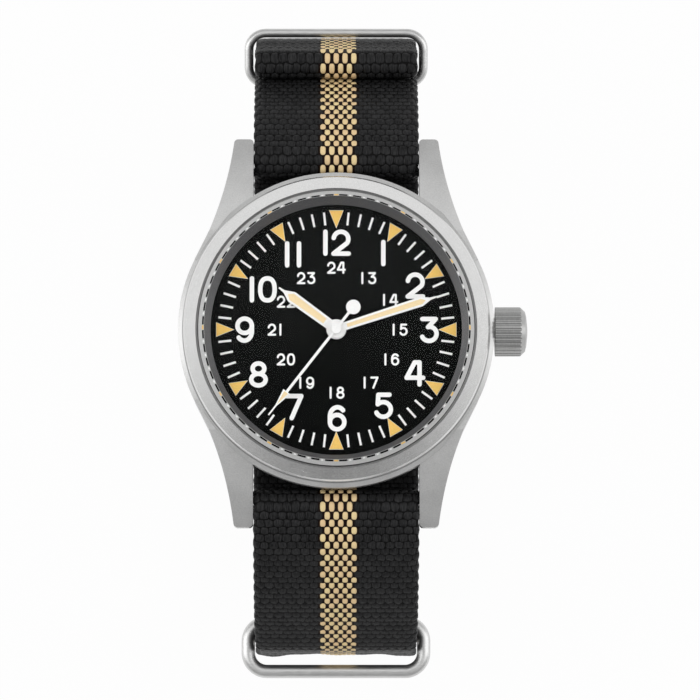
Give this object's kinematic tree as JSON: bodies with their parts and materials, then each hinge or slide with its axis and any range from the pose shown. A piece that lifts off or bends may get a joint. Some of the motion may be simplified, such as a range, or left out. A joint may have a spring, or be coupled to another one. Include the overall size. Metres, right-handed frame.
{
  "type": "field watch",
  "caption": "Round steel field watch with a black 12/24-hour dial on a single-pass nylon strap, closed as if on a wrist.",
  "frame": {"origin": "middle of the flat face under the case that lies on the wrist", "axes": "+Z out of the dial, +Y to twelve o'clock, +X to the crown"},
  "size_m": [0.042, 0.0802, 0.0622],
  "materials": {
    "blasted_steel": "bead-blasted, dull satin",
    "satin_steel": "fine satin",
    "polished_steel": "turned and polished",
    "crystal": "polished, domed, ground edge",
    "seal_rubber": "matt black seal",
    "crystal_seal": "pale gasket",
    "dial_paint": "fine matt black paint",
    "chapter_grey": "matt dark grey",
    "lume": "chalky luminous paint",
    "gold_lume": "old-gold luminous paint",
    "hand_white": "white paint",
    "brass_part": "machined",
    "nickel_plate": "nickel-plated",
    "holder_plastic": "moulded white",
    "board": "green laminate",
    "copper_wire": "enamelled copper winding",
    "soft_iron": "laminated sheet",
    "nylon": "black ribbed nylon with a checkered gold stripe"
  },
  "bodies": {
    "root": {"battery": "polished_steel", "battery_clip": "polished_steel", "bezel": "blasted_steel", "case_back": "satin_steel", "case_back_gasket": "seal_rubber", "case_middle": "blasted_steel", "chapter_ring": "chapter_grey", "circuit_board": "board", "coil_core": "soft_iron", "coil_winding": "copper_wire", "crown_tube": "polished_steel", "crystal": "crystal", "crystal_gasket": "crystal_seal", "dial": "dial_paint", "dial_triangles": "gold_lume", "dial_washer": "polished_steel", "keeper_strap": "nylon", "lower_spring_bar_spring": "polished_steel", "lower_spring_bar_tube": "satin_steel", "main_plate": "brass_part", "main_strap": "nylon", "movement_holder": "holder_plastic", "movement_screws": "polished_steel", "quartz_can": "polished_steel", "stator": "soft_iron", "train_bridge": "nickel_plate", "upper_spring_bar_spring": "polished_steel", "upper_spring_bar_tube": "satin_steel", "yoke": "polished_steel"},
    "seconds": {"fourth_wheel": "brass_part", "second_hand": "hand_white", "second_hand_fill": "lume"},
    "minutes": {"centre_wheel": "brass_part", "minute_hand": "hand_white", "minute_hand_fill": "lume"},
    "hours": {"hour_wheel": "brass_part", "hour_hand": "hand_white", "hour_hand_fill": "lume"},
    "third": {"third_wheel": "brass_part"},
    "fifth": {"fifth_wheel": "brass_part"},
    "motor_rotor": {"rotor": "nickel_plate"},
    "minute_gear": {"minute_wheel": "brass_part"},
    "setting_gear": {"setting_wheel": "brass_part"},
    "clutch": {"sliding_pinion": "polished_steel"},
    "crown_and_stem": {"crown": "satin_steel", "crown_gasket": "seal_rubber", "stem": "polished_steel"},
    "lever": {"setting_lever": "polished_steel"},
    "upper_plunger_right": {"upper_plunger_crown_side": "polished_steel"},
    "upper_plunger_left": {"upper_plunger_far_side": "polished_steel"},
    "lower_plunger_right": {"lower_plunger_crown_side": "polished_steel"},
    "lower_plunger_left": {"lower_plunger_far_side": "polished_steel"},
    "six_ring": {"end_ring": "satin_steel"},
    "twelve_ring": {"upper_keeper_ring": "satin_steel"},
    "back_ring": {"buckle_keeper_ring": "satin_steel"},
    "buckle": {"buckle_frame": "satin_steel"},
    "tongue": {"buckle_tongue": "satin_steel"}
  },
  "joints": [
    {"name": "seconds_turn", "type": "hinge", "parent": "root", "child": "seconds", "pos_m": [0, 0, 0.0071], "axis": [0, 0, -1], "continuous": true},
    {"name": "minutes_turn", "type": "hinge", "parent": "root", "child": "minutes", "pos_m": [0, 0, 0.0071], "axis": [0, 0, -1], "continuous": true},
    {"name": "hours_turn", "type": "hinge", "parent": "root", "child": "hours", "pos_m": [0, 0, 0.0084], "axis": [0, 0, -1], "continuous": true},
    {"name": "third_turn", "type": "hinge", "parent": "root", "child": "third", "pos_m": [-0.00176, 0.00304, 0.0061], "axis": [0, 0, -1], "continuous": true},
    {"name": "fifth_turn", "type": "hinge", "parent": "root", "child": "fifth", "pos_m": [-0.00292, -0.00205, 0.0061], "axis": [0, 0, -1], "continuous": true},
    {"name": "rotor_turn", "type": "hinge", "parent": "root", "child": "motor_rotor", "pos_m": [-0.00495, -0.00279, 0.0061], "axis": [0, 0, -1], "continuous": true},
    {"name": "minute_gear_turn", "type": "hinge", "parent": "root", "child": "minute_gear", "pos_m": [0.00263, -0.00096, 0.0082], "axis": [0, 0, -1], "continuous": true},
    {"name": "setting_gear_turn", "type": "hinge", "parent": "root", "child": "setting_gear", "pos_m": [0.00605, -0.0002, 0.0079], "axis": [0, 0, -1], "continuous": true},
    {"name": "crown_turn", "type": "hinge", "parent": "root", "child": "clutch", "pos_m": [0.0087, 0, 0.0066], "axis": [1, 0, 0], "continuous": true},
    {"name": "crown_pull", "type": "slide", "parent": "clutch", "child": "crown_and_stem", "axis": [1, 0, 0], "range_m": [0, 0.001]},
    {"name": "lever_turn", "type": "hinge", "parent": "root", "child": "lever", "pos_m": [0.01085, 0.0026, 0.0065], "axis": [0, 0, 1], "range_deg": [0, 25.1]},
    {"name": "upper_plunger_right_press", "type": "slide", "parent": "root", "child": "upper_plunger_right", "axis": [-1, 0, 0], "range_m": [0, 0.001], "stiffness_N_per_m": 400, "springref_m": -0.001},
    {"name": "upper_plunger_left_press", "type": "slide", "parent": "root", "child": "upper_plunger_left", "axis": [1, 0, 0], "range_m": [0, 0.001], "stiffness_N_per_m": 400, "springref_m": -0.001},
    {"name": "lower_plunger_right_press", "type": "slide", "parent": "root", "child": "lower_plunger_right", "axis": [-1, 0, 0], "range_m": [0, 0.001], "stiffness_N_per_m": 400, "springref_m": -0.001},
    {"name": "lower_plunger_left_press", "type": "slide", "parent": "root", "child": "lower_plunger_left", "axis": [1, 0, 0], "range_m": [0, 0.001], "stiffness_N_per_m": 400, "springref_m": -0.001},
    {"name": "six_ring_swing", "type": "hinge", "parent": "root", "child": "six_ring", "pos_m": [0, -0.03413, -0.013], "axis": [1, 0, 0], "range_deg": [-8, 8]},
    {"name": "twelve_ring_swing", "type": "hinge", "parent": "root", "child": "twelve_ring", "pos_m": [0, 0.03259, -0.00982], "axis": [1, 0, 0], "range_deg": [-8, 8]},
    {"name": "back_ring_swing", "type": "hinge", "parent": "root", "child": "back_ring", "pos_m": [0, 0.01608, -0.0433], "axis": [1, 0, 0], "range_deg": [-8, 8]},
    {"name": "buckle_swing", "type": "hinge", "parent": "root", "child": "buckle", "pos_m": [0, 0.004, -0.04455], "axis": [1, 0, 0], "range_deg": [0, 2]},
    {"name": "tongue_swing", "type": "hinge", "parent": "buckle", "child": "tongue", "pos_m": [0, 0.004, -0.04455], "axis": [1, 0, 0], "range_deg": [0, 3]}
  ],
  "couplings": [
    {"joint": "minutes_turn", "follows": "seconds_turn", "ratio": 0.016667},
    {"joint": "hours_turn", "follows": "seconds_turn", "ratio": 0.0013889},
    {"joint": "third_turn", "follows": "seconds_turn", "ratio": -0.13333},
    {"joint": "fifth_turn", "follows": "seconds_turn", "ratio": -6},
    {"joint": "rotor_turn", "follows": "seconds_turn", "ratio": 30},
    {"joint": "minute_gear_turn", "follows": "seconds_turn", "ratio": -0.0055556},
    {"joint": "setting_gear_turn", "follows": "seconds_turn", "ratio": 0.0083333},
    {"joint": "lever_turn", "follows": "crown_pull", "rad_per_m": 437.2}
  ]
}
